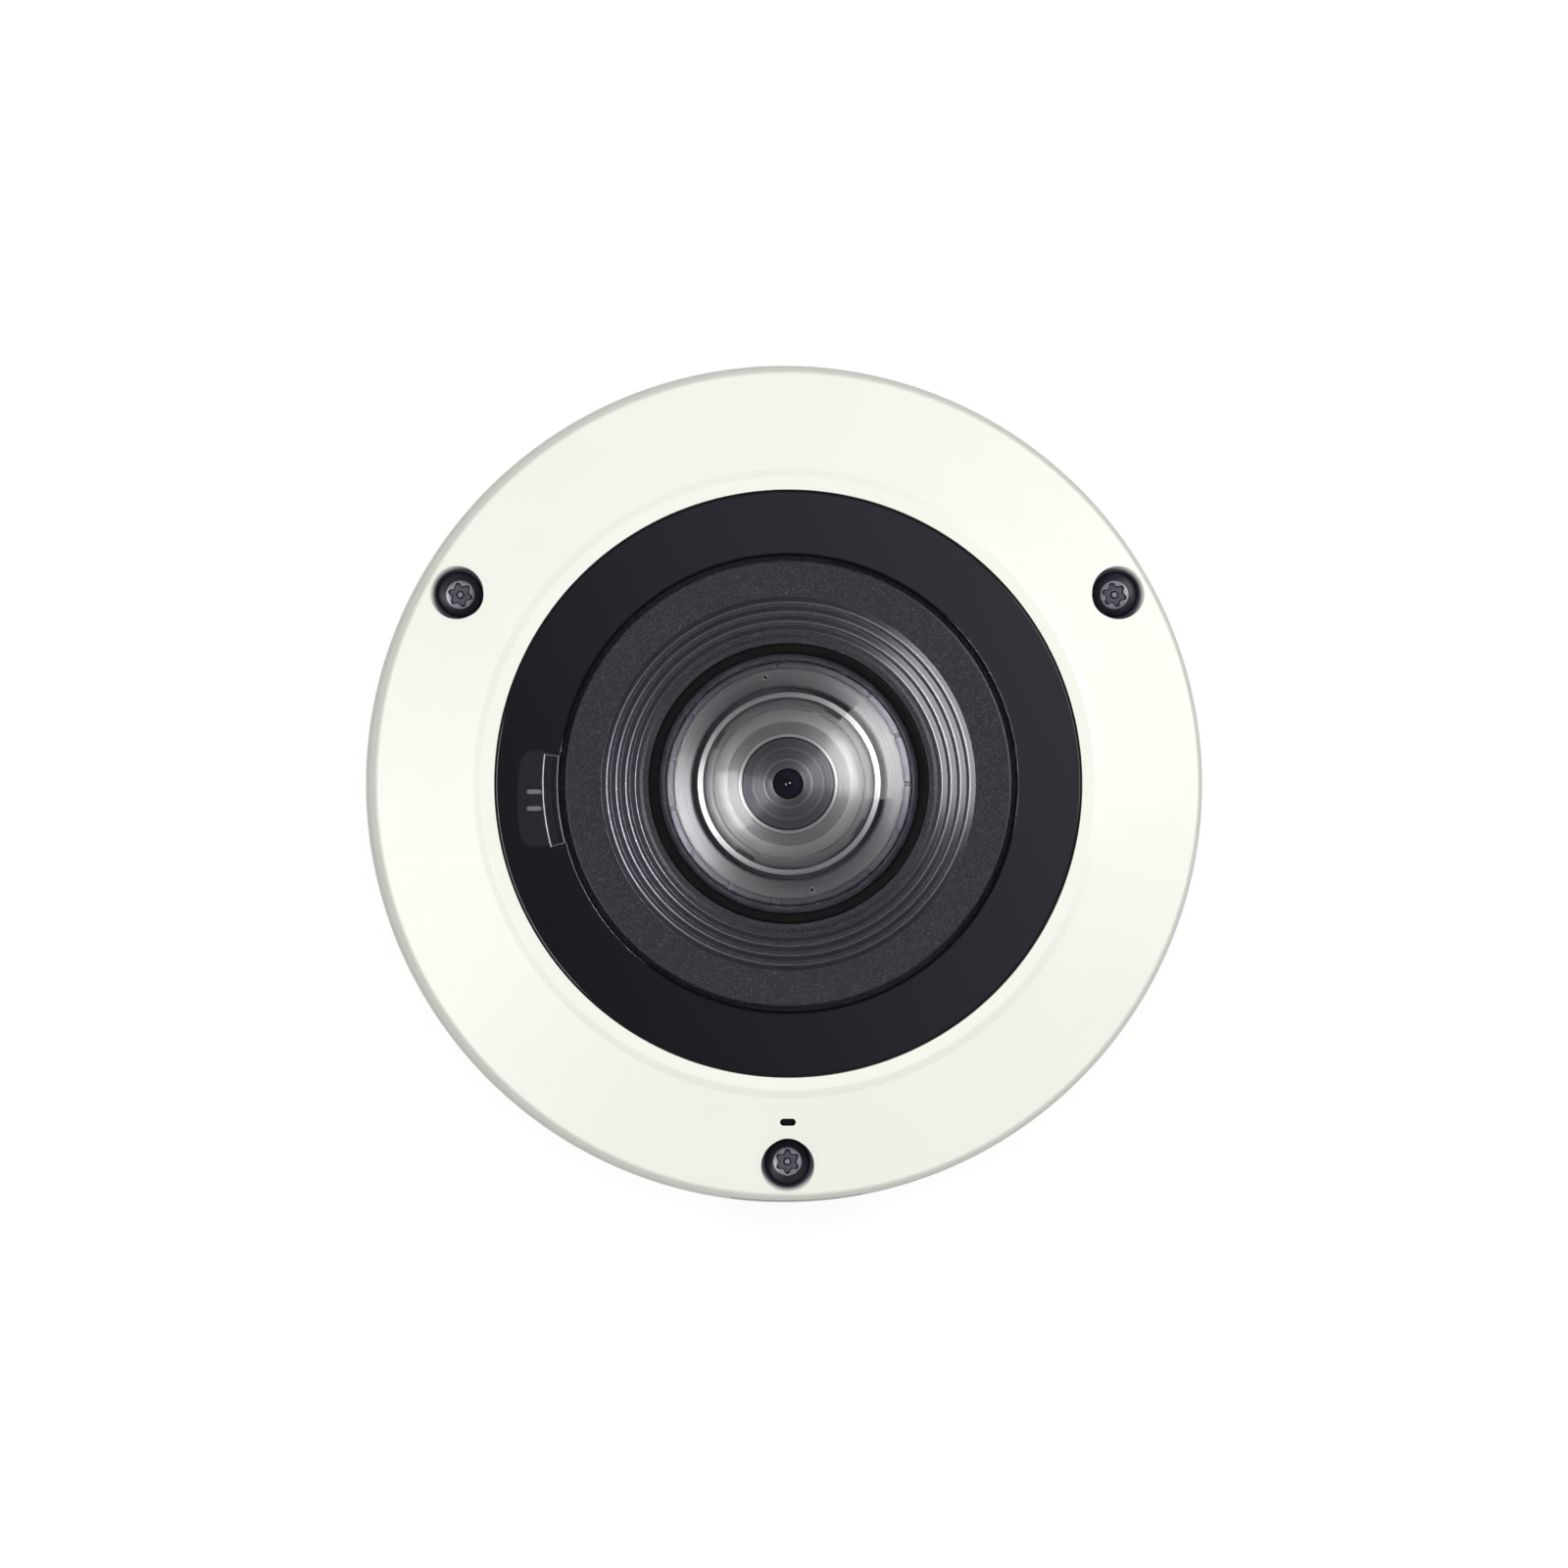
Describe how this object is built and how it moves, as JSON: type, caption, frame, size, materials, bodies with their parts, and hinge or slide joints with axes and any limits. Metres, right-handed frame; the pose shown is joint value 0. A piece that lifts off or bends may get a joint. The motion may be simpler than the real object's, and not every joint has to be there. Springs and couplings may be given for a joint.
{
  "type": "fisheye security camera",
  "caption": "Round surface-mount fisheye network camera with a clear dome, stepped bezel, black infrared window ring and ivory cover held by captive star screws.",
  "frame": {"origin": "centre of the flat back mounting face", "axes": "+Z out of the lens, away from the ceiling or wall; -Y towards the microphone slot; -X towards the clear sensor insert"},
  "size_m": [0.145, 0.145, 0.0472],
  "materials": {
    "ivory_paint": "satin ivory powder coat",
    "seal_rubber": "matt black rubber",
    "plug_grey": "matt grey moulding",
    "nylon_white": "natural nylon",
    "window_black": "polished infrared-pass black",
    "clear_plastic": "clear moulding",
    "bezel_charcoal": "fine spark texture with sparkle",
    "dome_clear": "clear hard-coated polycarbonate",
    "black_steel": "black-coated steel",
    "bright_steel": "plain zinc and nickel plate",
    "brass": "turned brass",
    "lens_glass": "coated lens glass",
    "ring_silver": "fine-turned silver",
    "ring_dark": "black-anodised",
    "frame_plastic": "matt charcoal moulding",
    "filter_glass": "coated filter glass",
    "rotor_grey": "bonded magnet",
    "coil_copper": "enamelled winding",
    "board_green": "green solder resist",
    "board_white": "white solder resist",
    "chip_black": "moulded black",
    "sensor_dark": "covered sensor face",
    "ribbon_amber": "amber polyimide",
    "chassis_metal": "bare pressed aluminium",
    "pad_pink": "soft gap filler",
    "terminal_green": "green moulding",
    "light_clear": "clear epoxy"
  },
  "bodies": {
    "base": {"base_housing": "ivory_paint", "cover_gasket": "seal_rubber", "cable_grommet": "seal_rubber", "side_plug": "plug_grey", "breather_vent": "nylon_white", "lens_holder": "frame_plastic", "lens_screws": "bright_steel", "lens_barrel": "ring_dark", "front_glass": "lens_glass", "glass_ring": "ring_silver", "bright_spacer": "ring_silver", "middle_glass": "lens_glass", "stop_ring": "ring_dark", "rear_glass": "lens_glass", "lock_ring": "ring_silver", "castle_nut": "ring_dark", "filter_tray": "frame_plastic", "filter_coil": "coil_copper", "sensor_board": "board_green", "image_sensor": "sensor_dark", "sensor_ribbon": "ribbon_amber", "chassis": "chassis_metal", "chassis_screws": "bright_steel", "standoffs": "brass", "main_board": "board_green", "processor": "chip_black", "thermal_pad": "pad_pink", "memory_chips": "chip_black", "network_jack": "bright_steel", "power_terminal": "terminal_green", "card_socket": "bright_steel", "reset_switch": "chip_black", "light_board": "board_white", "light_posts": "nylon_white", "infrared_lights": "light_clear", "light_sensor": "chip_black"},
    "cover": {"cover": "ivory_paint", "ir_window": "window_black", "window_seals": "seal_rubber", "sensor_insert": "clear_plastic", "bezel": "bezel_charcoal", "dome": "dome_clear", "dome_seal": "seal_rubber", "dome_clamp": "frame_plastic", "front_frame": "frame_plastic", "frame_screws": "bright_steel", "light_shield": "seal_rubber", "microphone": "bright_steel", "mic_boot": "seal_rubber", "screw_seals": "seal_rubber", "screw_retainers": "nylon_white"},
    "cover_screw_1": {"cover_screw_1": "black_steel"},
    "cover_screw_2": {"cover_screw_2": "black_steel"},
    "cover_screw_3": {"cover_screw_3": "black_steel"},
    "filter_carrier": {"filter_carrier": "frame_plastic", "filter_glasses": "filter_glass"},
    "filter_rotor": {"filter_rotor": "rotor_grey"},
    "reset_plunger": {"reset_plunger": "nylon_white"},
    "terminal_screw_1": {"terminal_screw_1": "bright_steel"},
    "terminal_screw_2": {"terminal_screw_2": "bright_steel"}
  },
  "joints": [
    {"name": "cover_lift", "type": "slide", "parent": "base", "child": "cover", "axis": [0, 0, 1], "range_m": [0, 0.04]},
    {"name": "cover_screw_1_turn", "type": "hinge", "parent": "cover", "child": "cover_screw_1", "pos_m": [0.05655, 0.03265, 0.014], "axis": [0, 0, 1], "continuous": true},
    {"name": "cover_screw_2_turn", "type": "hinge", "parent": "cover", "child": "cover_screw_2", "pos_m": [-0.05655, 0.03265, 0.014], "axis": [0, 0, 1], "continuous": true},
    {"name": "cover_screw_3_turn", "type": "hinge", "parent": "cover", "child": "cover_screw_3", "pos_m": [0, -0.0653, 0.014], "axis": [0, 0, 1], "continuous": true},
    {"name": "filter_rotor_turn", "type": "hinge", "parent": "base", "child": "filter_rotor", "pos_m": [0, -0.0135, 0.021], "axis": [0, 0, 1], "range_deg": [0, 64.4]},
    {"name": "filter_slide", "type": "slide", "parent": "base", "child": "filter_carrier", "axis": [-1, 0, 0], "range_m": [0, 0.0096]},
    {"name": "reset_press", "type": "slide", "parent": "base", "child": "reset_plunger", "axis": [0, 0, -1], "range_m": [0, 0.0003], "stiffness_N_per_m": 2000},
    {"name": "terminal_screw_1_turn", "type": "hinge", "parent": "base", "child": "terminal_screw_1", "pos_m": [0.0035, -0.036, 0.014], "axis": [0, 0, 1], "continuous": true},
    {"name": "terminal_screw_2_turn", "type": "hinge", "parent": "base", "child": "terminal_screw_2", "pos_m": [0.0085, -0.036, 0.014], "axis": [0, 0, 1], "continuous": true}
  ],
  "couplings": [
    {"joint": "filter_rotor_turn", "follows": "filter_slide", "rad_per_m": 117.08}
  ]
}
